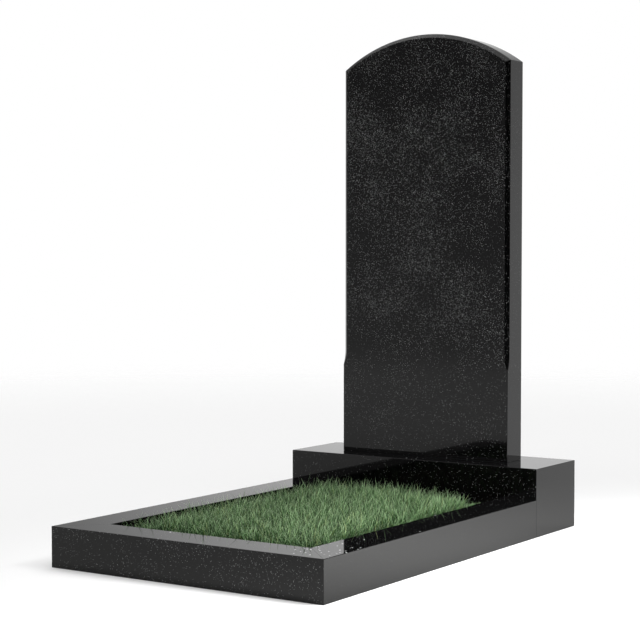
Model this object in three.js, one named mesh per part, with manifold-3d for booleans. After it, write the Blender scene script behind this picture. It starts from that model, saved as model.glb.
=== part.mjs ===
// A headstone set in polished black granite: an arch-topped stele on a stand block, with a bed of turf
// in front of it inside mitred kerbs. Millimetres, +Z up. The bed's front faces -Y, and the origin is
// on the ground, in the middle of the set's plan.

import * as THREE from 'three';
import { mergeVertices } from 'three/addons/utils/BufferGeometryUtils.js';
import Module from 'manifold-3d';

const wasm = await Module();
wasm.setup();

// Driving dimensions

const STAND = { width: 665, depth: 200, height: 155 };

const STELE = { width: 450, thickness: 70, height: 1000, archRise: 73, archSegments: 64 };

// The chamfer runs up both front edges and round the arch. It stops short of the stele's foot, where the
// grinding wheel lifts out of the corner along its own radius.
const CHAMFER = { size: 9, stopHeight: 210, wheelRadius: 100, wheelSegments: 10 };

const BED = { length: 865 };

const KERB = { width: 85, height: 85 };

// Small flat bevel on the exposed long edges of the stand and the kerbs
const ARRIS = 1;

// Thickness of the joint between two stones, and between a stone and the turf
const JOINT = 0.3;

// The turf. Its earth lies below the kerbs' tops. Its grass stands above them and thins out at the margins.
const TURF = {
  earthHeight: 60,
  grassHeight: 98,
  leftMargin: 75,
  rightMargin: 22,
  frontMargin: 18,
  backMargin: 95,
  swell: 3,
  swellLength: 210,
  cellSize: 30,
};

// Space by which a cutter runs past the stone that it cuts
const OVERRUN = 20;

// Two vertices closer than this are one
const WELD = 1e-4;

// Places that follow from the sizes

const totalLength = BED.length + STAND.depth;
const frontY = -totalLength / 2;
const standFrontY = frontY + BED.length;
const standMiddleY = standFrontY + STAND.depth / 2;
const archRadius = (STELE.width ** 2 / 4 + STELE.archRise ** 2) / (2 * STELE.archRise);
const archHalfAngle = Math.asin(STELE.width / 2 / archRadius);
const archStep = 2 * archHalfAngle / STELE.archSegments;
const archCentreZ = STELE.height - archRadius;
const shoulderZ = STELE.height - STELE.archRise;

// Materials

const granite = { color: 0x1c1c1d, roughness: 0.08, metalness: 0 };
const grass = { color: 0x5a7a4c, roughness: 0.9, metalness: 0 };

function namedMesh(name, geometry, look) {
  const mesh = new THREE.Mesh(geometry, new THREE.MeshStandardMaterial(look));
  mesh.name = name;
  return mesh;
}

// Solids

function weld(geometry) {
  geometry.deleteAttribute('normal');
  geometry.deleteAttribute('uv');
  return mergeVertices(geometry, WELD);
}

function toSolid(geometry) {
  const welded = weld(geometry);
  return new wasm.Manifold(new wasm.Mesh({
    numProp: 3,
    vertProperties: Float32Array.from(welded.attributes.position.array),
    triVerts: Uint32Array.from(welded.index.array),
  }));
}

function toGeometry(solid) {
  const mesh = solid.getMesh();
  const geometry = new THREE.BufferGeometry();
  geometry.setAttribute('position', new THREE.BufferAttribute(mesh.vertProperties, mesh.numProp));
  geometry.setIndex(new THREE.BufferAttribute(mesh.triVerts, 1));
  geometry.computeVertexNormals();
  return geometry;
}

function boxSolid(low, high) {
  const size = high.map((value, i) => value - low[i]);
  const middle = high.map((value, i) => (value + low[i]) / 2);
  return toSolid(new THREE.BoxGeometry(...size).translate(...middle));
}

function polygon(points) {
  return new THREE.Shape(points.map(([a, b]) => new THREE.Vector2(a, b)));
}

// Extrudes an outline drawn in X and Z from Y = 0 to Y = depth.
function extrudeAlongY(outline, depth, options = {}) {
  const geometry = new THREE.ExtrudeGeometry(outline, { depth, bevelEnabled: false, ...options });
  return geometry.translate(0, 0, -depth).rotateX(Math.PI / 2);
}

// A rectangle from the origin with its corners cut back by the arris
function arrisedRectangle(width, height) {
  return polygon([
    [ARRIS, 0], [width - ARRIS, 0], [width, ARRIS], [width, height - ARRIS],
    [width - ARRIS, height], [ARRIS, height], [0, height - ARRIS], [0, ARRIS],
  ]);
}

// The stele is made with the middle of its foot's front edge at the origin.

// The front outline, with the arch run on past each shoulder by some of its steps, and legs down to footZ
function archedOutline(footZ, extraSteps = 0) {
  const halfAngle = archHalfAngle + extraSteps * archStep;
  const halfWidth = archRadius * Math.sin(halfAngle);
  const shape = new THREE.Shape();
  shape.moveTo(-halfWidth, footZ);
  shape.lineTo(halfWidth, footZ);
  shape.absarc(0, archCentreZ, archRadius, Math.PI / 2 - halfAngle, Math.PI / 2 + halfAngle, false);
  shape.closePath();
  return shape;
}

// An ExtrudeGeometry divides an arc into twice its curveSegments.
function arcOptions(extraSteps = 0) {
  return { curveSegments: STELE.archSegments / 2 + extraSteps };
}

// What the chamfer takes off the arch: a plate over the top of the front face, less a slab with one steep
// bevel that passes through the chamfer and runs on past both of its edges
function archWaste() {
  const bottom = shoulderZ - 3 * CHAMFER.size;
  const lowest = (bottom - CHAMFER.size - archCentreZ) / archRadius;
  const extraSteps = Math.ceil((Math.acos(lowest) - archHalfAngle) / archStep);
  const lead = CHAMFER.size / 2;
  const bevel = CHAMFER.size + 2 * lead;
  const slab = extrudeAlongY(archedOutline(bottom - 2 * bevel, extraSteps), STELE.thickness, {
    ...arcOptions(extraSteps),
    bevelEnabled: true,
    bevelThickness: bevel,
    bevelSize: bevel,
    bevelOffset: -CHAMFER.size - lead,
    bevelSegments: 1,
  });
  slab.translate(0, bevel - lead, 0);
  const halfWidth = STELE.width / 2 + lead / 2;
  const plate = boxSolid(
    [-halfWidth, -lead / 2, bottom],
    [halfWidth, CHAMFER.size + lead / 2, STELE.height + lead / 2],
  );
  return plate.subtract(toSolid(slab));
}

// What the chamfer takes off one front edge, seen square to the edge's diagonal: a straight cut that ends
// in the wheel's round path
function edgeWaste(side) {
  const depth = CHAMFER.size / Math.SQRT2;
  const liftLength = Math.sqrt(2 * CHAMFER.wheelRadius * depth - depth ** 2);
  const profile = new THREE.Shape();
  profile.moveTo(OVERRUN, CHAMFER.stopHeight);
  for (let i = CHAMFER.wheelSegments; i >= 0; i--) {
    const below = liftLength * i / CHAMFER.wheelSegments;
    const sagitta = CHAMFER.wheelRadius - Math.sqrt(CHAMFER.wheelRadius ** 2 - below ** 2);
    profile.lineTo(sagitta - depth, CHAMFER.stopHeight + liftLength - below);
  }
  profile.lineTo(-depth, STELE.height + OVERRUN);
  profile.lineTo(OVERRUN, STELE.height + OVERRUN);
  profile.closePath();
  const span = 2 * (depth + OVERRUN);
  const cutter = extrudeAlongY(profile, span).translate(0, -span / 2, 0);
  cutter.rotateZ(side > 0 ? -Math.PI / 4 : -3 * Math.PI / 4);
  return toSolid(cutter.translate(side * STELE.width / 2, 0, 0));
}

function stele() {
  const slab = toSolid(extrudeAlongY(archedOutline(0), STELE.thickness, arcOptions()));
  const solid = slab.subtract(archWaste()).subtract(edgeWaste(-1)).subtract(edgeWaste(1));
  const mesh = namedMesh('stele', toGeometry(solid), granite);
  mesh.position.set(0, standMiddleY - STELE.thickness / 2, STAND.height + JOINT);
  return mesh;
}

// The stand, a plain block with every edge arrised

function stand() {
  const block = extrudeAlongY(arrisedRectangle(STAND.width, STAND.height), STAND.depth - 2 * ARRIS, {
    bevelEnabled: true,
    bevelThickness: ARRIS,
    bevelSize: ARRIS,
    bevelOffset: -ARRIS,
    bevelSegments: 1,
  });
  const mesh = namedMesh('stand', weld(block), granite);
  mesh.position.set(-STAND.width / 2, standFrontY + ARRIS, 0);
  return mesh;
}

// The kerbs are made with the middle of the front kerb's foot at the origin.

// The solid that cuts one end of a mitre, for the front kerb or for the side kerb that meets it. Its plan is
// drawn from the set's outer corner, first inwards along the front and then back, with half of the joint
// left open.
function mitreWaste(side, forFrontKerb) {
  const setback = JOINT / Math.SQRT2;
  const far = KERB.width + OVERRUN;
  const plan = [
    [setback - OVERRUN, -OVERRUN], [setback + far, far], [-2 * OVERRUN, far], [-2 * OVERRUN, -OVERRUN],
  ].map(([a, b]) => (forFrontKerb ? [a, b] : [b, a]));
  const shape = polygon(plan.map(([inwards, back]) => [side * (STAND.width / 2 - inwards), back]));
  const depth = KERB.height + 2 * OVERRUN;
  const wedge = new THREE.ExtrudeGeometry(shape, { depth, bevelEnabled: false });
  return toSolid(wedge.translate(0, 0, -OVERRUN));
}

function frontKerb() {
  const bar = extrudeAlongY(arrisedRectangle(KERB.width, KERB.height), STAND.width);
  bar.rotateZ(-Math.PI / 2).translate(-STAND.width / 2, KERB.width, 0);
  const solid = toSolid(bar).subtract(mitreWaste(-1, true)).subtract(mitreWaste(1, true));
  const mesh = namedMesh('kerb_front', toGeometry(solid), granite);
  mesh.position.set(0, frontY, 0);
  return mesh;
}

function sideKerb(name, side) {
  const bar = extrudeAlongY(arrisedRectangle(KERB.width, KERB.height), BED.length - JOINT);
  bar.translate(side < 0 ? -STAND.width / 2 : STAND.width / 2 - KERB.width, 0, 0);
  const mesh = namedMesh(name, toGeometry(toSolid(bar).subtract(mitreWaste(side, false))), granite);
  mesh.position.set(0, frontY, 0);
  return mesh;
}

// The turf

// Rises from 0 to 1 over a margin, without a kink at either end
function easeIn(distance, margin) {
  const t = Math.min(1, distance / margin);
  return t * t * (3 - 2 * t);
}

function turfTopZ(fromLeft, fromRight, fromFront, fromBack) {
  const fullness = easeIn(fromLeft, TURF.leftMargin) * easeIn(fromRight, TURF.rightMargin)
    * easeIn(fromFront, TURF.frontMargin) * easeIn(fromBack, TURF.backMargin);
  const turn = 2 * Math.PI / TURF.swellLength;
  const swell = TURF.swell * Math.sin(turn * fromLeft) * Math.cos(turn * fromFront);
  return TURF.earthHeight + fullness * (TURF.grassHeight + swell - TURF.earthHeight);
}

function turf() {
  const width = STAND.width - 2 * (KERB.width + JOINT);
  const length = BED.length - KERB.width - 2 * JOINT;
  const columns = Math.round(width / TURF.cellSize);
  const rows = Math.round(length / TURF.cellSize);
  const geometry = weld(new THREE.BoxGeometry(width, length, TURF.earthHeight, columns, rows, 1));
  const places = geometry.attributes.position;
  for (let i = 0; i < places.count; i++) {
    const fromLeft = width / 2 + places.getX(i);
    const fromFront = length / 2 + places.getY(i);
    const topZ = turfTopZ(fromLeft, width - fromLeft, fromFront, length - fromFront);
    places.setZ(i, places.getZ(i) > 0 ? topZ : 0);
  }
  const mesh = namedMesh('turf', geometry, grass);
  mesh.position.set(0, frontY + KERB.width + JOINT + length / 2, 0);
  return mesh;
}

const headstone = new THREE.Group();
headstone.name = 'headstone_set';
headstone.add(stele(), stand(), frontKerb(), sideKerb('kerb_left', -1), sideKerb('kerb_right', 1), turf());

export default headstone;
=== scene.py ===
import math

import bmesh
import bpy
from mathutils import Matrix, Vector, noise


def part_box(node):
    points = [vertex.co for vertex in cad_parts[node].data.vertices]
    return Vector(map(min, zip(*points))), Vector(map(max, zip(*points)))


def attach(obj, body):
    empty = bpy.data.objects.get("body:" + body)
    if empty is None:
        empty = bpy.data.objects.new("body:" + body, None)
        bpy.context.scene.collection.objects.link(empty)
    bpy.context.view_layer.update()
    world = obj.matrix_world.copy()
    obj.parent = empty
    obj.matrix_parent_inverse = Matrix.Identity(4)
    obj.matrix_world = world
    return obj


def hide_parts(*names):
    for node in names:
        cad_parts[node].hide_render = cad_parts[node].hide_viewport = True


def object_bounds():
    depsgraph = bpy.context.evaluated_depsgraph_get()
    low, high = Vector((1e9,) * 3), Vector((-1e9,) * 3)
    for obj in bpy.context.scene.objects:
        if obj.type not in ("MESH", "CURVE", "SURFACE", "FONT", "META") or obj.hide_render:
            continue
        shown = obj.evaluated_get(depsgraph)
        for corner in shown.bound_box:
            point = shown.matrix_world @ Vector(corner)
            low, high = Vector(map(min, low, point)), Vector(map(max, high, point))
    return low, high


bl_info = {
    "name": "Granite headstone set",
    "version": (1, 0, 0),
    "blender": (4, 5, 0),
    "location": "View3D > Sidebar > Headstone",
    "description": "Dresses a headstone, its stand, kerbs and grassed bed around their packed model",
    "category": "Object",
}

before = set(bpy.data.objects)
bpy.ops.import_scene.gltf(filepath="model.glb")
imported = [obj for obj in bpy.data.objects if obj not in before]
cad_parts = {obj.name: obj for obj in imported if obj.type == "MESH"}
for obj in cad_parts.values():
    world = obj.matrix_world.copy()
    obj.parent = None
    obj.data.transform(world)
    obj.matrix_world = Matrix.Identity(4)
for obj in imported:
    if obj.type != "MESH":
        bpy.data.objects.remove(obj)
CAD_LOW, CAD_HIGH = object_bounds()
MM = 0.001
FULL_TURN = 2 * math.pi

# The photograph's camera, fitted to the straight edges of the stones
CAMERA_PLACE = (2.0198, -3.0796, 0.6498)
CAMERA_TURN_DEG = 33.646
CAMERA_TILT_DEG = 2.421
CAMERA_LENS_MM = 95.11
SENSOR_MM = 36.0

# Edges turned by less than the first angle are shaded smooth, and those by more than the second are rounded
SMOOTH_UP_TO_DEG = 25
SQUARE_FROM_DEG = 60
ARRIS_STEPS = 3
# How far a face's normal has to point down to be a stone's underside, or up to be open ground
FACES_DOWN = -0.9
FACES_UP = 0.3
# How far an edge has to lie along its kerb to be one of the long ones
RUNS_ALONG = 0.99

# Sizes of the stone's pattern. Real crystals of the fine kind are under half a millimetre, too small to show
# in the photograph, so they are drawn as coarse as they need to be to show as points.
LATH_SIZE = 1.9 * MM
FINE_CRYSTAL = 1.1 * MM
# The coarse pale spots are painted glints, a painted highlight on the tops
GLINT_SIZE = 4.8 * MM
CROWD_SIZE = 110 * MM
POLISH_WAVE = 90 * MM
SAW_ARC = 18 * MM
# A crystal's cell is pushed out of shape by this share of its size, and fades from its core to its rim
CRYSTAL_RAG = 0.18
CRYSTAL_CORE = 0.25
CRYSTAL_RIM = 0.5
# How unlike the crystals are in brightness: the coarse ones, which are painted glints, are nearly all bright
FINE_CONTRAST = 1.3
GLINT_CONTRAST = 0.25
# Shares of the stone's grains that are pale: front kerb, other kerbs and stand, stele, and the painted glints
# in the nest and by chance
FRONT_KERB_SHARE = 0.1
PLAIN_SHARE = 0.05
STELE_SHARE = 0.28
GLINT_NEST_SHARE = 0.12
CHANCE_GLINT_SHARE = 0.04
# What is left of the share on the faces turned towards X, thinned there as painted shade, and on the tops,
# and where crystals are least crowded
THINNED_SHARE = 0.2
SPARSE_SHARE = 0.1
# The part of its reach in which the nest of painted glints is full, and how much of the sawn faces is dust
GLINT_NEST_CORE = 0.3
SAW_DUST = 0.8
# Values of a pattern, from 0 to 1, between which the laths, crowding, chance glints and dry crumbs come in
LATH_RANGE = (0.5, 1.0)
CROWD_RANGE = (0.3, 0.7)
CHANCE_GLINT_RANGE = (0.6, 0.75)
DRY_CRUMBS = (0.42, 0.68)
# Where along the bed the front kerb's share ends, and where up the set the stele's share begins
FRONT_KERB_FADE = (-0.45, -0.3)
STELE_FADE = (0.16, 0.5)

# The earth's crumbs, and the detail and the middle level of the noise that heaps up its clods
CRUMB_SIZE = 6 * MM
CLOD_OCTAVES = 4
CLOD_LEVEL = 0.5

TUFT_SIZE = 60 * MM
# What differs from blade to blade by chance, from its least to its most, in the order of the seeds
BLADE_CHANCES = (
    ("growth", 0.5, 1.15),
    ("width", 0.7, 1.25),
    ("turn", 0.0, FULL_TURN),
    ("shade", 0.0, 1.0),
    ("bend", 0.25, 1.0),
    ("heading", 0.0, FULL_TURN),
)
# A blade at the very edge of the bed has this share of its full size
EDGE_BLADE = 0.25
# A tuft's size runs from the first share up by the second
TUFT_LEAST, TUFT_GAIN = 0.85, 0.3
# A blade is this much wider where it is widest than at its foot, and this thick for its width
BLADE_SWELL = 0.5
BLADE_THICKNESS = 0.35
# Most blades stand nearly upright, and each curves more towards its tip, which comes down as it leans out
BEND_BIAS = 1.3
CURVE_POWER = 1.5
TIP_DROP = -8.0
# How bright the darkest and the brightest blades are, and the shade at which they are brightest
BLADE_DARKEST = 0.4
BLADE_BRIGHTEST = 1.85
BRIGHTEST_SHADE = 0.9
# Lengths of the short and stray blades as shares of the tall ones, and the step between the layers' seeds
SHORT_BLADE = 0.8
STRAY_BLADE = 0.9
SEED_STEP = 50

# Where the studio's walls are, as headings in degrees from +Y towards +X
BACK_WALL_DEG = 10
FRONT_WALL_DEG = 214
DARK_CORNER_DEG = 124
# How well a direction has to agree with those headings for the light to start and be full, or go out
BACK_WALL_EDGE = (0.56, 0.76)
FRONT_WALL_EDGE = (-0.4, 0.6)
DARK_CORNER_EDGE = (-0.5, 0.8)
FRONT_WALL_LEAST = 0.6
DARK_CORNER_LEFT = 0.02
# Heights at which the light changes, from 0 at the horizon to 1 straight above
FRONT_FADE = (-0.06, 0.1)
GROUND_EDGE = (-0.08, -0.055)
BACK_FADE = (0.0, 0.42)
SKY_EDGE = (0.45, 0.9)
# The painted shade of the stones on the mirrored floor fades out between these distances from the middle
FLOOR_SHADE_FULL, FLOOR_SHADE_GONE = 0.6, 1.8
FLOOR_SEGMENTS = 128

# The lamp's place, which is out from the set's right side, along the set, and up, and how wide it shines
KEY_ASIDE = 0.6
KEY_ALONG = -0.12
KEY_HEIGHT = 1.1
KEY_SPREAD_DEG = 110


def linear(hex_colour):
    """An sRGB colour such as "#1c1c1d" as the scene's linear red, green and blue."""
    values = [int(hex_colour[i:i + 2], 16) / 255 for i in (1, 3, 5)]
    return tuple(v / 12.92 if v <= 0.04045 else ((v + 0.055) / 1.055) ** 2.4 for v in values)


def opaque(colour):
    """A linear colour with an alpha of one, as node sockets take it."""
    return (*colour[:3], 1.0)


def length_property(name, description, default):
    """A length in metres that a user can change."""
    return bpy.props.FloatProperty(
        name=name, description=description, default=default, min=0.0, precision=4, unit="LENGTH",
        subtype="DISTANCE")


def number_property(name, description, default):
    """A plain number that a user can change, of zero or more."""
    return bpy.props.FloatProperty(name=name, description=description, default=default, min=0.0)


def colour_property(name, description, hex_colour):
    """A colour that a user can change, given as sRGB."""
    return bpy.props.FloatVectorProperty(
        name=name, description=description, default=linear(hex_colour), min=0.0, max=1.0, size=3,
        subtype="COLOR")


class StoneProperties(bpy.types.PropertyGroup):
    """Sizes and colours of the granite pieces"""

    arch_rise: length_property("Arch rise", "Height of the stele's arch above its shoulders", 73 * MM)
    arch_steps: bpy.props.IntProperty(
        name="Arch steps", description="Straight steps that make up the arch", default=160, min=16)
    chamfer: length_property("Chamfer", "Width of the stele's chamfer on either face", 9 * MM)
    chamfer_stop: length_property("Chamfer stop", "Height above the foot where the chamfer ends", 210 * MM)
    wheel_radius: length_property("Wheel radius", "Radius of the chamfer's run-out at its stops", 100 * MM)
    wheel_steps: bpy.props.IntProperty(
        name="Wheel steps", description="Straight steps that make up a chamfer's run-out", default=16, min=4)
    arris: length_property("Arris", "Width of the rounding on the stones' exposed edges", 1.1 * MM)
    joint_arris: length_property("Joint arris", "Width of the rounding on edges at a joint", 0.15 * MM)
    matrix_colour: colour_property("Dark mineral", "Colour of the stone's fine dark ground", "#020202")
    lath_colour: colour_property("Grey mineral", "Colour of the grey laths in the ground", "#101011")
    fleck_colour: colour_property("Pale fleck", "Colour of the scattered pale flecks", "#eef0f0")
    # The nest is a patch of painted glints: coarse pale spots on the tops at the near corner of the kerbs
    glint_nest_place: bpy.props.FloatVectorProperty(
        name="Nest", description="Middle of the nest of coarse crystals", default=(0.285, -0.45, 0.085),
        precision=4, unit="LENGTH", subtype="TRANSLATION")
    glint_nest_reach: length_property("Nest reach", "Radius of the nest of coarse crystals", 95 * MM)
    sawn_colour: colour_property("Sawn face", "Colour of the unpolished undersides", "#4a4b4c")


class TurfProperties(bpy.types.PropertyGroup):
    """Sizes and colours of the earth and the grass"""

    earth_height: length_property("Earth height", "Height of the earth above the ground", 60 * MM)
    earth_cell: length_property("Earth cell", "Spacing of the earth's mesh", 4.5 * MM)
    clod_height: length_property("Clod height", "Height of the earth's clods", 7 * MM)
    clod_size: length_property("Clod size", "Spacing of the earth's clods", 22 * MM)
    blade_length: length_property("Blade length", "Length of a full-grown blade of grass", 60 * MM)
    blade_width: length_property("Blade width", "Width of a blade of grass at its foot", 2.4 * MM)
    blade_lean: length_property("Blade lean", "How far a blade's tip can lean out from its root", 58 * MM)
    left_margin: length_property("Left margin", "Width of the thinner grass along the left kerb", 88 * MM)
    back_margin: length_property("Back margin", "Width of the thinner grass along the stand", 65 * MM)
    side_margin: length_property("Near margins", "Width of the shorter grass along the other kerbs", 13 * MM)
    back_bow: number_property(
        "Back bow", "How fast the bare strip along the stand widens to both sides, in 1/m", 0.97)
    bow_middle: length_property("Bow middle", "Where the strip is narrowest, from the left kerb", 170 * MM)
    tall_density: number_property("Tall blades", "Tall blades in a square metre", 21000.0)
    short_density: number_property("Short blades", "Short blades in a square metre", 20000.0)
    stray_density: number_property(
        "Stray blades", "Blades in a square metre that are long up to the kerbs", 4500.0)
    seed: bpy.props.IntProperty(
        name="Seed", description="Start of the grass's random numbers", default=7, min=0)
    # Painted shade: the near-black root colour stands for the shade at the foot of the grass
    root_shade_colour: colour_property("Root", "Colour of a blade at its root", "#101c0b")
    blade_colour: colour_property("Blade", "Colour of a blade half-way up", "#3f6933")
    # The pale tip is partly the blade's own colour and partly a painted highlight where light catches it
    pale_tip_and_highlight_colour: colour_property("Tip", "Colour of a blade's tip", "#9ab389")
    dry_colour: colour_property("Dry blade", "Colour of the few dry blades", "#8e8c58")
    earth_colour: colour_property("Earth", "Colour of the moist earth", "#2b2119")
    clod_colour: colour_property("Clod", "Colour of the drier tops of the clods", "#4a3b2c")


class StageProperties(bpy.types.PropertyGroup):
    """The floor and the light"""

    floor_radius: length_property("Floor radius", "Radius where the floor has faded out", 6.0)
    floor_full: length_property("Full floor", "Radius up to which the floor is full", 2.6)
    floor_colour: colour_property("Floor", "Colour of the floor", "#ffffff")
    # Painted shade: close to the stones, the floor they mirror is darker than the floor the camera sees
    near_mirrored_shade: colour_property(
        "Near floor mirrored", "Colour that the stones mirror close by", "#e2e2e1")
    far_mirrored: colour_property(
        "Far floor mirrored", "Colour that the stones mirror further out", "#ffffff")
    sky_light: number_property("Sky light", "Strength of the light from straight above", 1.5)
    back_light: number_property("Back light", "Strength of the light from the wall behind, low down", 1.15)
    back_high_light: number_property("Higher back light", "The same, higher up", 0.5)
    front_light: number_property("Front light", "Strength of the light from the other walls, low down", 1.0)
    front_high_light: number_property("Higher front light", "The same, higher up", 0.42)
    ground_light: number_property(
        "Ground light", "How much stronger the front light is below the horizon", 1.55)
    key_power: bpy.props.FloatProperty(
        name="Key power", description="Power of the soft lamp on the right", default=15.0, min=0.0,
        unit="POWER")
    key_size: length_property("Key size", "Width of the soft lamp", 0.8)


# Meshes


def new_piece(name, bm, *materials):
    """Makes an object at the origin from a bmesh, whose faces are turned outwards."""
    bmesh.ops.recalc_face_normals(bm, faces=bm.faces)
    mesh = bpy.data.meshes.new(name)
    bm.to_mesh(mesh)
    bm.free()
    for material in materials:
        mesh.materials.append(material)
    piece = bpy.data.objects.new(name, mesh)
    bpy.context.scene.collection.objects.link(piece)
    return piece


def round_edges(piece, width):
    """Rounds the weighted edges of a stone and keeps its faces flat."""
    for polygon in piece.data.polygons:
        polygon.use_smooth = True
    piece.data.set_sharp_from_angle(angle=math.radians(SMOOTH_UP_TO_DEG))
    bevel = piece.modifiers.new("arris", "BEVEL")
    bevel.width = width
    bevel.segments = ARRIS_STEPS
    bevel.limit_method = "WEIGHT"
    bevel.use_clamp_overlap = False
    bevel.harden_normals = True


def dress(piece, node):
    """Lets a piece stand for a CAD node, on the one body of the set."""
    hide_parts(node)
    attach(piece, "root")


def prism(bm, plan, low_z, high_z):
    """Adds an upright prism on a plan given as corners in turn."""
    low = [bm.verts.new((x, y, low_z)) for x, y in plan]
    high = [bm.verts.new((x, y, high_z)) for x, y in plan]
    bm.faces.new(reversed(low))
    bm.faces.new(high)
    for i in range(len(plan)):
        j = (i + 1) % len(plan)
        bm.faces.new((low[i], low[j], high[j], high[i]))


def weigh_edges(bm, weight_of):
    """Gives each edge the bevel weight that weight_of works out from the edge."""
    layer = bm.edges.layers.float.new("bevel_weight_edge")
    for edge in bm.edges:
        edge[layer] = weight_of(edge)


# Nodes

# A colour Mix node's sockets go by number, because hidden sockets of other types share their names
FACTOR, FIRST, SECOND, MIXED = 0, 6, 7, 2


def add(tree, kind, inputs=None, **settings):
    """Adds a node with its settings and links.

    inputs maps a socket's name or number to its value, or to the output that feeds it. A node in its place
    feeds it from the node's first output.
    """
    new = tree.nodes.new(kind)
    for name, value in settings.items():
        setattr(new, name, value)
    for key, value in (inputs or {}).items():
        if isinstance(value, bpy.types.Node):
            value = value.outputs[0]
        if isinstance(value, bpy.types.NodeSocket):
            tree.links.new(value, new.inputs[key])
        else:
            new.inputs[key].default_value = value
    return new


def new_material(name):
    """An empty node material and its tree."""
    material = bpy.data.materials.new(name)
    material.use_nodes = True
    material.node_tree.nodes.clear()
    return material, material.node_tree


def crystals(tree, place, size, share, contrast):
    """How bright each spot is with pale crystals of one size, which fill a share of the stone's grains."""
    rag = add(tree, "ShaderNodeTexNoise", {"Vector": place, "Scale": 1 / size, "Detail": 1.0})
    push = add(tree, "ShaderNodeVectorMath", {
        0: rag.outputs["Color"], 1: (CRYSTAL_RAG * size,) * 3}, operation="MULTIPLY")
    ragged = add(tree, "ShaderNodeVectorMath", {0: place, 1: push}, operation="ADD")
    cell = add(tree, "ShaderNodeTexVoronoi", {"Vector": ragged, "Scale": 1 / size})
    lot = add(tree, "ShaderNodeSeparateColor", {"Color": cell.outputs["Color"]})
    rest = add(tree, "ShaderNodeMath", {0: 1.0, 1: share}, operation="SUBTRACT")
    chosen = add(tree, "ShaderNodeMapRange", {"Value": lot, "From Min": rest})
    bright = add(tree, "ShaderNodeMath", {0: chosen, 1: contrast}, operation="POWER")
    body = add(tree, "ShaderNodeMapRange", {
        "Value": cell.outputs["Distance"], "From Min": CRYSTAL_RIM, "From Max": CRYSTAL_CORE})
    return add(tree, "ShaderNodeMath", {0: bright, 1: body}, operation="MULTIPLY")


def speckled_ground(tree, stone, place):
    """The colour of gabbro: a dark ground of fine grey laths with scattered pale crystals, by true size.

    The faces turned towards X, which the light falls on most, show few of the pale crystals: painted shade
    that keeps them dark. The tops show few of them too. The front kerb is cut from a plainer part of the
    block than the stele, and the stand and the other kerbs from the plainest.
    """
    grain = add(tree, "ShaderNodeTexVoronoi", {"Vector": place, "Scale": 1 / LATH_SIZE})
    grain_shade = add(tree, "ShaderNodeSeparateColor", {"Color": grain.outputs["Color"]})
    lath = add(tree, "ShaderNodeMapRange", {
        "Value": grain_shade, "From Min": LATH_RANGE[0], "From Max": LATH_RANGE[1]})
    ground = add(tree, "ShaderNodeMix", {
        FACTOR: lath, FIRST: opaque(stone.matrix_colour), SECOND: opaque(stone.lath_colour)},
        data_type="RGBA")

    normal = add(tree, "ShaderNodeNewGeometry").outputs["True Normal"]
    facing = add(tree, "ShaderNodeSeparateXYZ", {0: normal}).outputs
    side_facing = add(tree, "ShaderNodeMath", {0: facing[0]}, operation="ABSOLUTE")
    upward = add(tree, "ShaderNodeMath", {0: facing[2]}, operation="ABSOLUTE")
    # Painted shade: fewer pale crystals on the faces turned towards X, which the light falls on most
    side_shade_share = add(tree, "ShaderNodeMapRange", {"Value": side_facing, "To Min": 1.0, "To Max": THINNED_SHARE})
    top_share = add(tree, "ShaderNodeMapRange", {"Value": upward, "To Min": 1.0, "To Max": THINNED_SHARE})
    spot = add(tree, "ShaderNodeSeparateXYZ", {0: place}).outputs
    low_down = add(tree, "ShaderNodeMapRange", {
        "Value": spot[1], "From Min": FRONT_KERB_FADE[0], "From Max": FRONT_KERB_FADE[1],
        "To Min": FRONT_KERB_SHARE, "To Max": PLAIN_SHARE})
    by_place = add(tree, "ShaderNodeMapRange", {
        "Value": spot[2], "From Min": STELE_FADE[0], "From Max": STELE_FADE[1],
        "To Min": low_down, "To Max": STELE_SHARE})
    crowd = add(tree, "ShaderNodeTexNoise", {"Vector": place, "Scale": 1 / CROWD_SIZE, "Detail": 4.0})
    fine_share = add(tree, "ShaderNodeMapRange", {
        "Value": crowd, "From Min": CROWD_RANGE[0], "From Max": CROWD_RANGE[1], "To Min": SPARSE_SHARE})
    for factor in (by_place, side_shade_share, top_share):
        fine_share = add(tree, "ShaderNodeMath", {0: fine_share, 1: factor}, operation="MULTIPLY")
    fine = crystals(tree, place, FINE_CRYSTAL, fine_share, FINE_CONTRAST)

    # Painted glints: coarse pale spots on the tops only, standing for light sparkling on the polish, in a
    # nest on the near corner of the kerbs and a few more on the tops by chance
    corner = add(tree, "ShaderNodeVectorMath", {0: place, 1: stone.glint_nest_place}, operation="DISTANCE")
    nest = add(tree, "ShaderNodeMapRange", {
        "Value": corner.outputs["Value"], "From Min": GLINT_NEST_CORE * stone.glint_nest_reach,
        "From Max": stone.glint_nest_reach, "To Min": GLINT_NEST_SHARE, "To Max": 0.0})
    chance = add(tree, "ShaderNodeMapRange", {
        "Value": crowd, "From Min": CHANCE_GLINT_RANGE[0], "From Max": CHANCE_GLINT_RANGE[1], "To Max": CHANCE_GLINT_SHARE})
    either = add(tree, "ShaderNodeMath", {0: nest, 1: chance}, operation="MAXIMUM")
    glint_share = add(tree, "ShaderNodeMath", {0: either, 1: upward}, operation="MULTIPLY")
    coarse = crystals(tree, place, GLINT_SIZE, glint_share, GLINT_CONTRAST)
    fleck = add(tree, "ShaderNodeMath", {0: fine, 1: coarse}, operation="MAXIMUM")
    speckled = add(tree, "ShaderNodeMix", {
        FACTOR: fleck, FIRST: ground.outputs[MIXED], SECOND: opaque(stone.fleck_colour)}, data_type="RGBA")
    return speckled.outputs[MIXED]


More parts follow.
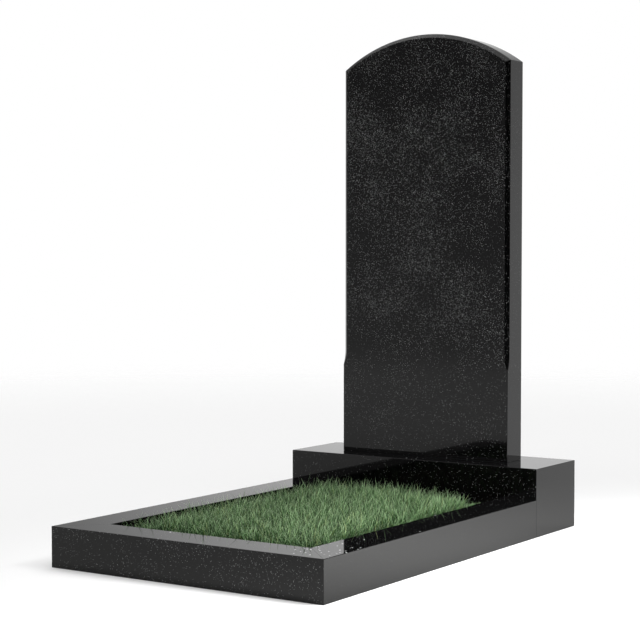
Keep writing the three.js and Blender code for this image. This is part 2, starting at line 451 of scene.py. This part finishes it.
def polished_gabbro(stone):
    """Gabbro, sold as black granite, ground and polished to a mirror gloss.

    The eye gets a near-black body and a clear reflection that is weak seen straight on and strong at a
    grazing angle, with the pale crystals showing through it.
    """
    material, tree = new_material("polished_gabbro")
    place = add(tree, "ShaderNodeTexCoord").outputs["Object"]
    colour = speckled_ground(tree, stone, place)
    wave = add(tree, "ShaderNodeTexNoise", {"Vector": place, "Scale": 1 / POLISH_WAVE, "Detail": 1.0})
    bump = add(tree, "ShaderNodeBump", {"Strength": 0.02, "Distance": 0.2 * MM, "Height": wave})
    shader = add(tree, "ShaderNodeBsdfPrincipled", {
        "Base Color": colour, "Roughness": 0.045, "IOR": 1.38, "Normal": bump})
    add(tree, "ShaderNodeOutputMaterial", {"Surface": shader})
    return material


def sawn_gabbro(stone):
    """The same stone as the saw leaves it, which gives the eye a matt grey with the blade's faint arcs."""
    material, tree = new_material("sawn_gabbro")
    place = add(tree, "ShaderNodeTexCoord").outputs["Object"]
    dusty = add(tree, "ShaderNodeMix", {
        FACTOR: SAW_DUST, FIRST: speckled_ground(tree, stone, place), SECOND: opaque(stone.sawn_colour)},
        data_type="RGBA")
    arcs = add(tree, "ShaderNodeTexWave", {
        "Vector": place, "Scale": 1 / SAW_ARC, "Distortion": 2.0, "Detail": 3.0}, bands_direction="X")
    bump = add(tree, "ShaderNodeBump", {"Strength": 0.3, "Distance": 0.4 * MM, "Height": arcs.outputs["Fac"]})
    shader = add(tree, "ShaderNodeBsdfPrincipled", {
        "Base Color": dusty.outputs[MIXED], "Roughness": 0.75, "Normal": bump})
    add(tree, "ShaderNodeOutputMaterial", {"Surface": shader})
    return material


def garden_earth(turf):
    """Moist dark earth, raked loose: to the eye matt crumbs, drier and paler on top of its clods."""
    material, tree = new_material("garden_earth")
    place = add(tree, "ShaderNodeTexCoord").outputs["Object"]
    crumb = add(tree, "ShaderNodeTexNoise", {"Vector": place, "Scale": 1 / CRUMB_SIZE, "Detail": 6.0})
    dryness = add(tree, "ShaderNodeMapRange", {
        "Value": crumb, "From Min": DRY_CRUMBS[0], "From Max": DRY_CRUMBS[1]})
    colour = add(tree, "ShaderNodeMix", {
        FACTOR: dryness, FIRST: opaque(turf.earth_colour), SECOND: opaque(turf.clod_colour)},
        data_type="RGBA")
    bump = add(tree, "ShaderNodeBump", {"Strength": 0.8, "Distance": 2 * MM, "Height": crumb})
    shader = add(tree, "ShaderNodeBsdfPrincipled", {
        "Base Color": colour.outputs[MIXED], "Roughness": 0.95, "Normal": bump})
    add(tree, "ShaderNodeOutputMaterial", {"Surface": shader})
    return material


def grass_blade(turf):
    """A living blade of lawn grass: to the eye deep green, darkened towards its root as painted shade, and
    paler at its tip, partly of its own and partly as a painted highlight.

    The attribute "along" runs from 0 at a blade's root to 1 at its tip. The attribute "shade" is drawn by
    chance for each blade, and makes some of them brighter and the last few dry.
    """
    material, tree = new_material("grass_blade")
    along = add(tree, "ShaderNodeAttribute", attribute_name="along").outputs["Fac"]
    shade = add(tree, "ShaderNodeAttribute", attribute_name="shade").outputs["Fac"]
    colour = opaque(turf.root_shade_colour)
    # Each colour over the last one: what it follows, where it starts and is full, and how much of it there
    # is. The root colour underneath is painted shade, and the tip colour is partly a painted highlight.
    for value, start, end, most, paint in (
        (along, 0.22, 0.7, 1.0, turf.blade_colour),
        (along, 0.6, 1.0, 1.0, turf.pale_tip_and_highlight_colour),
        (shade, 0.93, 1.0, 0.5, turf.dry_colour),
    ):
        share = add(tree, "ShaderNodeMapRange", {
            "Value": value, "From Min": start, "From Max": end, "To Max": most})
        colour = add(tree, "ShaderNodeMix", {
            FACTOR: share, FIRST: colour, SECOND: opaque(paint)}, data_type="RGBA").outputs[MIXED]
    brightness = add(tree, "ShaderNodeMapRange", {
        "Value": shade, "From Max": BRIGHTEST_SHADE, "To Min": BLADE_DARKEST, "To Max": BLADE_BRIGHTEST})
    varied = add(tree, "ShaderNodeHueSaturation", {"Value": brightness, "Color": colour})
    shader = add(tree, "ShaderNodeBsdfPrincipled", {"Base Color": varied, "Roughness": 0.45, "IOR": 1.4})
    add(tree, "ShaderNodeOutputMaterial", {"Surface": shader})
    return material


def matt_card(stage):
    """Plain matt card, which gives the eye a pale floor that fades out into the background.

    Close by, the stones mirror it a little darker than it is: painted shade of the stones on the floor, which
    the camera itself does not see.
    """
    material, tree = new_material("matt_card")
    place = add(tree, "ShaderNodeTexCoord").outputs["Object"]
    radius = add(tree, "ShaderNodeVectorMath", {0: place}, operation="LENGTH").outputs["Value"]
    fade = add(tree, "ShaderNodeMapRange", {
        "Value": radius, "From Min": stage.floor_full, "From Max": stage.floor_radius},
        interpolation_type="SMOOTHSTEP")
    # Painted shade close to the stones, in what they mirror only
    shade_fade = add(tree, "ShaderNodeMapRange", {"Value": radius, "From Min": FLOOR_SHADE_FULL, "From Max": FLOOR_SHADE_GONE})
    mirrored = add(tree, "ShaderNodeMix", {
        FACTOR: shade_fade, FIRST: opaque(stage.near_mirrored_shade), SECOND: opaque(stage.far_mirrored)},
        data_type="RGBA")
    seen = add(tree, "ShaderNodeLightPath").outputs["Is Camera Ray"]
    colour = add(tree, "ShaderNodeMix", {
        FACTOR: seen, FIRST: mirrored.outputs[MIXED], SECOND: opaque(stage.floor_colour)}, data_type="RGBA")
    card = add(tree, "ShaderNodeBsdfDiffuse", {"Color": colour.outputs[MIXED]})
    clear = add(tree, "ShaderNodeBsdfTransparent")
    faded = add(tree, "ShaderNodeMixShader", {0: fade, 1: card, 2: clear})
    add(tree, "ShaderNodeOutputMaterial", {"Surface": faded})
    return material


def finishes(scene):
    """The two finishes of the stone, made once for all its pieces."""
    stone = scene.headstone_stone
    return (
        bpy.data.materials.get("polished_gabbro") or polished_gabbro(stone),
        bpy.data.materials.get("sawn_gabbro") or sawn_gabbro(stone),
    )


def saw_underside(piece, low_z):
    """Gives the faces at the bottom of a stone its second finish."""
    for polygon in piece.data.polygons:
        if polygon.center.z < low_z + MM and polygon.normal.z < FACES_DOWN:
            polygon.material_index = 1


# Pieces


class HEADSTONE_OT_stele(bpy.types.Operator):
    """Builds the arched slab with its stopped chamfer"""

    bl_idname = "headstone.stele"
    bl_label = "Stele"

    def execute(self, context):
        stone = context.scene.headstone_stone
        low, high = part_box("stele")
        half = high.x
        rise = stone.arch_rise
        radius = (half ** 2 + rise ** 2) / (2 * rise)
        centre_z = high.z - radius
        shoulder_z = high.z - rise
        depth = stone.chamfer / math.sqrt(2)
        lift = math.sqrt(2 * stone.wheel_radius * depth - depth ** 2)
        stop_z = low.z + stone.chamfer_stop

        def set_back(below_full):
            """How far the chamfer is cut back at a height below the one where it is full."""
            sagitta = stone.wheel_radius - math.sqrt(stone.wheel_radius ** 2 - below_full ** 2)
            return (depth - sagitta) * math.sqrt(2)

        # One front edge from the chamfer's stop up to the shoulder, as (height, cut)
        rising = [(stop_z + lift * i / stone.wheel_steps, set_back(lift * (1 - i / stone.wheel_steps)))
                  for i in range(1, stone.wheel_steps + 1)]
        inner_radius = radius - stone.chamfer
        inner_half = half - stone.chamfer
        inner_shoulder_z = centre_z + math.sqrt(inner_radius ** 2 - inner_half ** 2)
        outer_angle = math.asin(half / radius)
        inner_angle = math.asin(inner_half / inner_radius)

        bm = bmesh.new()
        front, side = [], []
        for sign in (1, -1):
            lowest = [bm.verts.new((sign * half, low.y, z)) for z in (low.z, stop_z)]
            inner = [bm.verts.new((sign * (half - cut), low.y, z)) for z, cut in rising]
            outer = [bm.verts.new((sign * half, low.y + cut, z)) for z, cut in rising]
            front.append(lowest + inner + [bm.verts.new((sign * inner_half, low.y, inner_shoulder_z))])
            side.append(lowest + outer + [bm.verts.new((sign * half, low.y + stone.chamfer, shoulder_z))])
        for i in range(1, stone.arch_steps):
            across = 1 - 2 * i / stone.arch_steps
            inner_turn, outer_turn = inner_angle * across, outer_angle * across
            front[0].append(bm.verts.new((
                inner_radius * math.sin(inner_turn), low.y, centre_z + inner_radius * math.cos(inner_turn))))
            side[0].append(bm.verts.new((
                radius * math.sin(outer_turn), low.y + stone.chamfer,
                centre_z + radius * math.cos(outer_turn))))
        front_ring = front[0] + list(reversed(front[1]))
        side_ring = side[0] + list(reversed(side[1]))
        back_ring = [bm.verts.new((v.co.x, high.y, v.co.z)) for v in side_ring]

        bm.faces.new(front_ring)
        bm.faces.new(back_ring)
        count = len(side_ring)
        for i in range(count):
            j = (i + 1) % count
            bm.faces.new((side_ring[i], side_ring[j], back_ring[j], back_ring[i]))
            corners = []
            for corner in (front_ring[i], front_ring[j], side_ring[j], side_ring[i]):
                if corner not in corners:
                    corners.append(corner)
            if len(corners) > 2:
                bm.faces.new(corners)
        bm.normal_update()

        def weight(edge):
            """Rounds the back's edges and the corners below the chamfer's stops, and the foot slightly."""
            a, b = (v.co for v in edge.verts)
            if edge.calc_face_angle(0.0) < math.radians(SQUARE_FROM_DEG):
                return 0.0
            if max(a.z, b.z) < low.z + MM:
                return stone.joint_arris / stone.arris
            if max(a.z, b.z) <= stop_z + MM or min(a.y, b.y) > high.y - MM:
                return 1.0
            return 0.0

        weigh_edges(bm, weight)
        piece = new_piece("stele_stone", bm, *finishes(context.scene))
        saw_underside(piece, low.z)
        round_edges(piece, stone.arris)
        dress(piece, "stele")
        return {"FINISHED"}


class HEADSTONE_OT_stand(bpy.types.Operator):
    """Builds the block under the stele"""

    bl_idname = "headstone.stand"
    bl_label = "Stand"

    def execute(self, context):
        stone = context.scene.headstone_stone
        low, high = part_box("stand")
        bm = bmesh.new()
        prism(bm, [(low.x, low.y), (high.x, low.y), (high.x, high.y), (low.x, high.y)], low.z, high.z)
        weigh_edges(bm, lambda edge: 1.0)
        piece = new_piece("stand_stone", bm, *finishes(context.scene))
        saw_underside(piece, low.z)
        round_edges(piece, stone.arris)
        dress(piece, "stand")
        return {"FINISHED"}


class HEADSTONE_OT_kerbs(bpy.types.Operator):
    """Builds the three kerbs, mitred at the front corners and butted against the stand"""

    bl_idname = "headstone.kerbs"
    bl_label = "Kerbs"

    def execute(self, context):
        stone = context.scene.headstone_stone
        for node in ("kerb_front", "kerb_left", "kerb_right"):
            low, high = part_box(node)
            if node == "kerb_front":
                wide = high.y - low.y
                plan = [(low.x, low.y), (high.x, low.y), (high.x - wide, high.y), (low.x + wide, high.y)]
                along = 0
            else:
                wide = high.x - low.x
                outer, inner = (low.x, high.x) if node == "kerb_left" else (high.x, low.x)
                plan = [(outer, low.y), (inner, low.y + wide), (inner, high.y), (outer, high.y)]
                along = 1
            bm = bmesh.new()
            prism(bm, plan, low.z, high.z)

            def weight(edge):
                """Full along the kerb's length, and slight at its joints."""
                run = (edge.verts[1].co - edge.verts[0].co).normalized()
                return 1.0 if abs(run[along]) > RUNS_ALONG else stone.joint_arris / stone.arris

            weigh_edges(bm, weight)
            piece = new_piece(node + "_stone", bm, *finishes(context.scene))
            saw_underside(piece, low.z)
            round_edges(piece, stone.arris)
            dress(piece, node)
        return {"FINISHED"}


class HEADSTONE_OT_earth(bpy.types.Operator):
    """Fills the bed with crumbly earth"""

    bl_idname = "headstone.earth"
    bl_label = "Earth"

    def execute(self, context):
        turf = context.scene.headstone_turf
        low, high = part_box("turf")
        columns = round((high.x - low.x) / turf.earth_cell)
        rows = round((high.y - low.y) / turf.earth_cell)
        bm = bmesh.new()
        grid = []
        for j in range(rows + 1):
            y = low.y + (high.y - low.y) * j / rows
            row = []
            for i in range(columns + 1):
                x = low.x + (high.x - low.x) * i / columns
                spot = Vector((x, y, 0.0)) / turf.clod_size
                lumps = noise.turbulence(spot, CLOD_OCTAVES, False) - CLOD_LEVEL
                row.append(bm.verts.new((x, y, turf.earth_height + turf.clod_height * lumps)))
            grid.append(row)
        for j in range(rows):
            for i in range(columns):
                bm.faces.new((grid[j][i], grid[j][i + 1], grid[j + 1][i + 1], grid[j + 1][i]))
        right = [row[-1] for row in grid[:-1]]
        left = [row[0] for row in grid[:0:-1]]
        rim = grid[0][:-1] + right + grid[-1][:0:-1] + left
        under = [bm.verts.new((v.co.x, v.co.y, low.z)) for v in rim]
        for i in range(len(rim)):
            j = (i + 1) % len(rim)
            bm.faces.new((rim[i], under[i], under[j], rim[j]))
        bm.faces.new(under)
        piece = new_piece("earth", bm, garden_earth(turf))
        for polygon in piece.data.polygons:
            polygon.use_smooth = polygon.normal.z > FACES_UP
        dress(piece, "turf")
        return {"FINISHED"}


def grass_tree(name):
    """A tree that scatters bent, tapering blades over a flat bed and makes them one mesh."""
    tree = bpy.data.node_groups.new(name, "GeometryNodeTree")
    tree.is_modifier = True
    face = tree.interface
    face.new_socket("Geometry", in_out="INPUT", socket_type="NodeSocketGeometry")
    for label in ("Width", "Length", "Root height", "Density", "Blade length", "Blade width", "Lean",
                  "Left margin", "Right margin", "Front margin", "Back margin", "Back bow", "Bow middle"):
        face.new_socket(label, in_out="INPUT", socket_type="NodeSocketFloat")
    face.new_socket("Segments", in_out="INPUT", socket_type="NodeSocketInt")
    face.new_socket("Seed", in_out="INPUT", socket_type="NodeSocketInt")
    face.new_socket("Material", in_out="INPUT", socket_type="NodeSocketMaterial")
    face.new_socket("Geometry", in_out="OUTPUT", socket_type="NodeSocketGeometry")
    given = add(tree, "NodeGroupInput").outputs

    # Sockets 2 and 3 and output 1 are the random node's plain numbers
    chance = {}
    for number, (what, least, most) in enumerate(BLADE_CHANCES, start=1):
        seed = add(tree, "ShaderNodeMath", {0: given["Seed"], 1: float(number)}, operation="ADD")
        chance[what] = add(tree, "FunctionNodeRandomValue", {
            2: least, 3: most, "Seed": seed}, data_type="FLOAT").outputs[1]

    # Roots, and how far each is from the kerbs and from the bowed edge of the strip along the stand
    bed = add(tree, "GeometryNodeMeshGrid", {
        "Size X": given["Width"], "Size Y": given["Length"], "Vertices X": 2, "Vertices Y": 2})
    roots = add(tree, "GeometryNodeDistributePointsOnFaces", {
        "Mesh": bed, "Density": given["Density"], "Seed": given["Seed"]})
    place = add(tree, "GeometryNodeInputPosition")
    spot = add(tree, "ShaderNodeSeparateXYZ", {0: place}).outputs
    half_width = add(tree, "ShaderNodeMath", {0: given["Width"], 1: 0.5}, operation="MULTIPLY")
    half_length = add(tree, "ShaderNodeMath", {0: given["Length"], 1: 0.5}, operation="MULTIPLY")
    from_left = add(tree, "ShaderNodeMath", {0: half_width, 1: spot[0]}, operation="ADD")
    from_right = add(tree, "ShaderNodeMath", {0: half_width, 1: spot[0]}, operation="SUBTRACT")
    from_front = add(tree, "ShaderNodeMath", {0: half_length, 1: spot[1]}, operation="ADD")
    from_stand = add(tree, "ShaderNodeMath", {0: half_length, 1: spot[1]}, operation="SUBTRACT")
    off_middle = add(tree, "ShaderNodeMath", {0: from_left, 1: given["Bow middle"]}, operation="SUBTRACT")
    squared = add(tree, "ShaderNodeMath", {0: off_middle, 1: off_middle}, operation="MULTIPLY")
    bow = add(tree, "ShaderNodeMath", {0: squared, 1: given["Back bow"]}, operation="MULTIPLY")
    from_bow = add(tree, "ShaderNodeMath", {0: from_stand, 1: bow}, operation="SUBTRACT")

    # Fullness runs from 0 at an edge of the bed to 1 past its margin
    fullness = 1.0
    for distance, margin in (
        (from_left, "Left margin"),
        (from_bow, "Back margin"),
        (from_right, "Right margin"),
        (from_front, "Front margin"),
    ):
        part = add(tree, "ShaderNodeMath", {0: distance, 1: given[margin]}, operation="DIVIDE")
        share = add(tree, "ShaderNodeMapRange", {"Value": part}, interpolation_type="SMOOTHSTEP")
        fullness = add(tree, "ShaderNodeMath", {0: fullness, 1: share}, operation="MULTIPLY")
    tuft = add(tree, "ShaderNodeTexNoise", {"Scale": 1 / TUFT_SIZE, "Detail": 1.0})
    tufted = add(tree, "ShaderNodeMath", {0: tuft, 1: TUFT_GAIN, 2: TUFT_LEAST}, operation="MULTIPLY_ADD")
    growth = add(tree, "ShaderNodeMath", {0: chance["growth"], 1: tufted}, operation="MULTIPLY")
    filled = add(tree, "ShaderNodeMath", {
        0: fullness, 1: 1.0 - EDGE_BLADE, 2: EDGE_BLADE}, operation="MULTIPLY_ADD")
    size = add(tree, "ShaderNodeMath", {0: growth, 1: filled}, operation="MULTIPLY")
    tall = add(tree, "ShaderNodeMath", {0: size, 1: given["Blade length"]}, operation="MULTIPLY")

    # One blade of unit height, three-sided, then one on each root
    cone = add(tree, "GeometryNodeMeshCone", {
        "Vertices": 3, "Side Segments": given["Segments"], "Radius Top": 0.0, "Radius Bottom": 0.5,
        "Depth": 1.0})
    fuller = add(tree, "ShaderNodeMath", {0: spot[2], 1: BLADE_SWELL, 2: 1.0}, operation="MULTIPLY_ADD")
    swell = add(tree, "ShaderNodeCombineXYZ", {0: fuller, 1: fuller, 2: 1.0})
    swollen = add(tree, "ShaderNodeVectorMath", {0: place, 1: swell}, operation="MULTIPLY")
    blade = add(tree, "GeometryNodeSetPosition", {"Geometry": cone, "Position": swollen})
    blade = add(tree, "GeometryNodeStoreNamedAttribute", {
        "Geometry": blade, "Name": "along", "Value": spot[2]}, data_type="FLOAT", domain="POINT")
    wide = add(tree, "ShaderNodeMath", {0: given["Blade width"], 1: chance["width"]}, operation="MULTIPLY")
    thick = add(tree, "ShaderNodeMath", {0: wide, 1: BLADE_THICKNESS}, operation="MULTIPLY")
    blades = add(tree, "GeometryNodeInstanceOnPoints", {
        "Points": roots, "Instance": blade,
        "Rotation": add(tree, "ShaderNodeCombineXYZ", {2: chance["turn"]}),
        "Scale": add(tree, "ShaderNodeCombineXYZ", {0: wide, 1: thick, 2: tall})})
    bend = add(tree, "ShaderNodeMath", {0: chance["bend"], 1: BEND_BIAS}, operation="POWER")
    lean = add(tree, "ShaderNodeMath", {0: given["Lean"], 1: bend}, operation="MULTIPLY")
    reach = add(tree, "ShaderNodeMath", {0: lean, 1: size}, operation="MULTIPLY")
    for label, value in (("shade", chance["shade"]), ("reach", reach), ("heading", chance["heading"])):
        blades = add(tree, "GeometryNodeStoreNamedAttribute", {
            "Geometry": blades, "Name": label, "Value": value}, data_type="FLOAT", domain="INSTANCE")
    blades = add(tree, "GeometryNodeRealizeInstances", {0: blades})

    # Each blade bends further the higher it goes, and its tip comes down by as much as the bend takes
    stored = {}
    for label in ("along", "reach", "heading"):
        recalled = add(tree, "GeometryNodeInputNamedAttribute", {"Name": label}, data_type="FLOAT")
        stored[label] = recalled.outputs["Attribute"]
    curve = add(tree, "ShaderNodeMath", {0: stored["along"], 1: CURVE_POWER}, operation="POWER")
    out = add(tree, "ShaderNodeMath", {0: stored["reach"], 1: curve}, operation="MULTIPLY")
    east = add(tree, "ShaderNodeMath", {0: stored["heading"]}, operation="COSINE")
    north = add(tree, "ShaderNodeMath", {0: stored["heading"]}, operation="SINE")
    out_squared = add(tree, "ShaderNodeMath", {0: out, 1: out}, operation="MULTIPLY")
    offset = add(tree, "ShaderNodeCombineXYZ", {
        0: add(tree, "ShaderNodeMath", {0: out, 1: east}, operation="MULTIPLY"),
        1: add(tree, "ShaderNodeMath", {0: out, 1: north}, operation="MULTIPLY"),
        2: add(tree, "ShaderNodeMath", {
            0: out_squared, 1: TIP_DROP, 2: given["Root height"]}, operation="MULTIPLY_ADD")})
    bent = add(tree, "GeometryNodeSetPosition", {"Geometry": blades, "Offset": offset})
    smooth = add(tree, "GeometryNodeSetShadeSmooth", {"Geometry": bent})
    coloured = add(tree, "GeometryNodeSetMaterial", {"Geometry": smooth, "Material": given["Material"]})
    add(tree, "NodeGroupOutput", {0: coloured})
    return tree


class HEADSTONE_OT_grass(bpy.types.Operator):
    """Grows the grass on the bed, in a tall and a short layer and a few strays"""

    bl_idname = "headstone.grass"
    bl_label = "Grass"

    def execute(self, context):
        turf = context.scene.headstone_turf
        low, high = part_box("turf")
        tree = grass_tree("grass_scatter")
        inset = turf.blade_width
        values = {
            "Width": high.x - low.x - 2 * inset,
            "Length": high.y - low.y - 2 * inset,
            "Root height": turf.earth_height - turf.clod_height / 2,
            "Blade length": turf.blade_length,
            "Blade width": turf.blade_width,
            "Lean": turf.blade_lean,
            "Left margin": turf.left_margin,
            "Back margin": turf.back_margin,
            "Back bow": turf.back_bow,
            "Bow middle": turf.bow_middle,
            "Right margin": turf.side_margin,
            "Front margin": turf.side_margin,
            "Segments": 3,
            "Material": grass_blade(turf),
        }
        layers = {
            "grass_tall": {"Density": turf.tall_density},
            "grass_short": {
                "Density": turf.short_density, "Blade length": turf.blade_length * SHORT_BLADE,
                "Segments": 2},
            "grass_stray": {
                "Density": turf.stray_density, "Blade length": turf.blade_length * STRAY_BLADE,
                "Left margin": MM, "Front margin": MM},
        }
        sockets = {
            item.name: item.identifier for item in tree.interface.items_tree if item.in_out == "INPUT"}
        middle = Vector(((low.x + high.x) / 2, (low.y + high.y) / 2, 0.0))
        for number, (name, layer_values) in enumerate(layers.items()):
            seed = turf.seed + number * SEED_STEP
            seedbed = bpy.data.objects.new(name + "_seedbed", bpy.data.meshes.new(name + "_seedbed"))
            context.scene.collection.objects.link(seedbed)
            scatter = seedbed.modifiers.new("scatter", "NODES")
            scatter.node_group = tree
            for label, value in {**values, **layer_values, "Seed": seed}.items():
                scatter[sockets[label]] = value
            evaluated = seedbed.evaluated_get(context.evaluated_depsgraph_get())
            mesh = bpy.data.meshes.new_from_object(evaluated)
            for vertex in mesh.vertices:
                vertex.co += middle
            piece = bpy.data.objects.new(name, mesh)
            context.scene.collection.objects.link(piece)
            bpy.data.objects.remove(seedbed)
            if not mesh.polygons:
                raise RuntimeError(f"no blades grew in {name}")
            # The photograph's polished stones mirror only a few stray blades
            piece.visible_glossy = name == "grass_stray"
            dress(piece, "turf")
        return {"FINISHED"}


# Stage


class HEADSTONE_OT_stage(bpy.types.Operator):
    """Lays the floor and sets the light and the camera"""

    bl_idname = "headstone.stage"
    bl_label = "Stage"

    def execute(self, context):
        stage = context.scene.headstone_stage
        self.make_floor(stage)
        self.make_world(context.scene, stage)
        self.make_key(context.scene, stage)
        self.make_camera(context.scene)
        context.scene.view_settings.view_transform = "Standard"
        return {"FINISHED"}

    def make_floor(self, stage):
        """A round floor under the stones."""
        bm = bmesh.new()
        bmesh.ops.create_circle(bm, cap_ends=True, segments=FLOOR_SEGMENTS, radius=stage.floor_radius)
        bmesh.ops.translate(bm, verts=bm.verts, vec=(0.0, 0.0, CAD_LOW.z))
        new_piece("floor", bm, matt_card(stage))

    def make_world(self, scene, stage):
        """Soft light from all round: strong above, fair from the wall behind, and dark near the camera.

        The other walls are brightest below the horizon, where the stele's foot mirrors them. The camera
        itself sees plain white.
        """
        world = bpy.data.worlds.new("studio")
        scene.world = world
        world.use_nodes = True
        tree = world.node_tree
        tree.nodes.clear()
        heading = add(tree, "ShaderNodeTexCoord").outputs["Generated"]
        height = add(tree, "ShaderNodeSeparateXYZ", {0: heading}).outputs[2]
        agrees = {}
        for turn_deg in (BACK_WALL_DEG, FRONT_WALL_DEG, DARK_CORNER_DEG):
            turn = math.radians(turn_deg)
            level = (math.sin(turn), math.cos(turn), 0.0)
            agrees[turn_deg] = add(tree, "ShaderNodeVectorMath", {
                0: heading, 1: level}, operation="DOT_PRODUCT").outputs["Value"]

        behind = add(tree, "ShaderNodeMapRange", {
            "Value": agrees[BACK_WALL_DEG], "From Min": BACK_WALL_EDGE[0], "From Max": BACK_WALL_EDGE[1]},
            interpolation_type="SMOOTHSTEP")
        front = add(tree, "ShaderNodeMapRange", {
            "Value": height, "From Min": FRONT_FADE[0], "From Max": FRONT_FADE[1],
            "To Min": stage.front_light, "To Max": stage.front_high_light})
        ground = add(tree, "ShaderNodeMapRange", {
            "Value": height, "From Min": GROUND_EDGE[0], "From Max": GROUND_EDGE[1],
            "To Min": stage.ground_light, "To Max": 1.0}, interpolation_type="SMOOTHSTEP")
        ahead = add(tree, "ShaderNodeMapRange", {
            "Value": agrees[FRONT_WALL_DEG], "From Min": FRONT_WALL_EDGE[0], "From Max": FRONT_WALL_EDGE[1],
            "To Min": FRONT_WALL_LEAST, "To Max": 1.0})
        for factor in (ground, ahead):
            front = add(tree, "ShaderNodeMath", {0: front, 1: factor}, operation="MULTIPLY")
        back = add(tree, "ShaderNodeMapRange", {
            "Value": height, "From Min": BACK_FADE[0], "From Max": BACK_FADE[1],
            "To Min": stage.back_light, "To Max": stage.back_high_light})
        wall = add(tree, "ShaderNodeMix", {"Factor": behind, "A": front, "B": back})
        keep = add(tree, "ShaderNodeMapRange", {
            "Value": agrees[DARK_CORNER_DEG], "From Min": DARK_CORNER_EDGE[0],
            "From Max": DARK_CORNER_EDGE[1], "To Min": 1.0, "To Max": DARK_CORNER_LEFT},
            interpolation_type="SMOOTHSTEP")
        shaded = add(tree, "ShaderNodeMath", {0: wall, 1: keep}, operation="MULTIPLY")
        above = add(tree, "ShaderNodeMapRange", {
            "Value": height, "From Min": SKY_EDGE[0], "From Max": SKY_EDGE[1]},
            interpolation_type="SMOOTHSTEP")
        strength = add(tree, "ShaderNodeMix", {"Factor": above, "A": shaded, "B": stage.sky_light})
        seen = add(tree, "ShaderNodeLightPath").outputs["Is Camera Ray"]
        shown = add(tree, "ShaderNodeMix", {"Factor": seen, "A": strength, "B": 1.0})
        light = add(tree, "ShaderNodeBackground", {"Color": (1.0, 1.0, 1.0, 1.0), "Strength": shown})
        add(tree, "ShaderNodeOutputWorld", {"Surface": light})

    def make_key(self, scene, stage):
        """A soft lamp over the floor on the right, which shines straight down."""
        lamp = bpy.data.lights.new("key", "AREA")
        lamp.shape = "DISK"
        lamp.size = stage.key_size
        lamp.energy = stage.key_power
        lamp.spread = math.radians(KEY_SPREAD_DEG)
        key = bpy.data.objects.new("key", lamp)
        key.location = (CAD_HIGH.x + KEY_ASIDE, KEY_ALONG, KEY_HEIGHT)
        key.visible_camera = False
        scene.collection.objects.link(key)

    def make_camera(self, scene):
        """The photograph's viewpoint."""
        lens = bpy.data.cameras.new("camera")
        lens.lens = CAMERA_LENS_MM
        lens.sensor_width = SENSOR_MM
        camera = bpy.data.objects.new("camera", lens)
        camera.location = CAMERA_PLACE
        camera.rotation_euler = (math.radians(90 - CAMERA_TILT_DEG), 0.0, math.radians(CAMERA_TURN_DEG))
        scene.collection.objects.link(camera)
        scene.camera = camera


class HEADSTONE_PT_panel(bpy.types.Panel):
    """Lists the steps that build the set"""

    bl_idname = "HEADSTONE_PT_panel"
    bl_label = "Headstone set"
    bl_space_type = "VIEW_3D"
    bl_region_type = "UI"
    bl_category = "Headstone"

    def draw(self, context):
        for step in STEPS:
            self.layout.operator(step.bl_idname)
        for group_name in GROUPS:
            group = getattr(context.scene, group_name)
            box = self.layout.box()
            for name in group.bl_rna.properties.keys():
                if name not in ("rna_type", "name"):
                    box.prop(group, name)


STEPS = (
    HEADSTONE_OT_stage, HEADSTONE_OT_stele, HEADSTONE_OT_stand, HEADSTONE_OT_kerbs, HEADSTONE_OT_earth,
    HEADSTONE_OT_grass,
)
GROUPS = {
    "headstone_stone": StoneProperties,
    "headstone_turf": TurfProperties,
    "headstone_stage": StageProperties,
}


def register():
    for cls in (*GROUPS.values(), *STEPS, HEADSTONE_PT_panel):
        bpy.utils.register_class(cls)
    for name, group in GROUPS.items():
        setattr(bpy.types.Scene, name, bpy.props.PointerProperty(type=group))


def unregister():
    for name in GROUPS:
        delattr(bpy.types.Scene, name)
    for cls in (HEADSTONE_PT_panel, *reversed(STEPS), *reversed(GROUPS.values())):
        bpy.utils.unregister_class(cls)


def main():
    register()
    bpy.ops.headstone.stage()
    bpy.ops.headstone.stele()
    bpy.ops.headstone.stand()
    bpy.ops.headstone.kerbs()
    bpy.ops.headstone.earth()
    bpy.ops.headstone.grass()


if __name__ == "__main__":
    main()
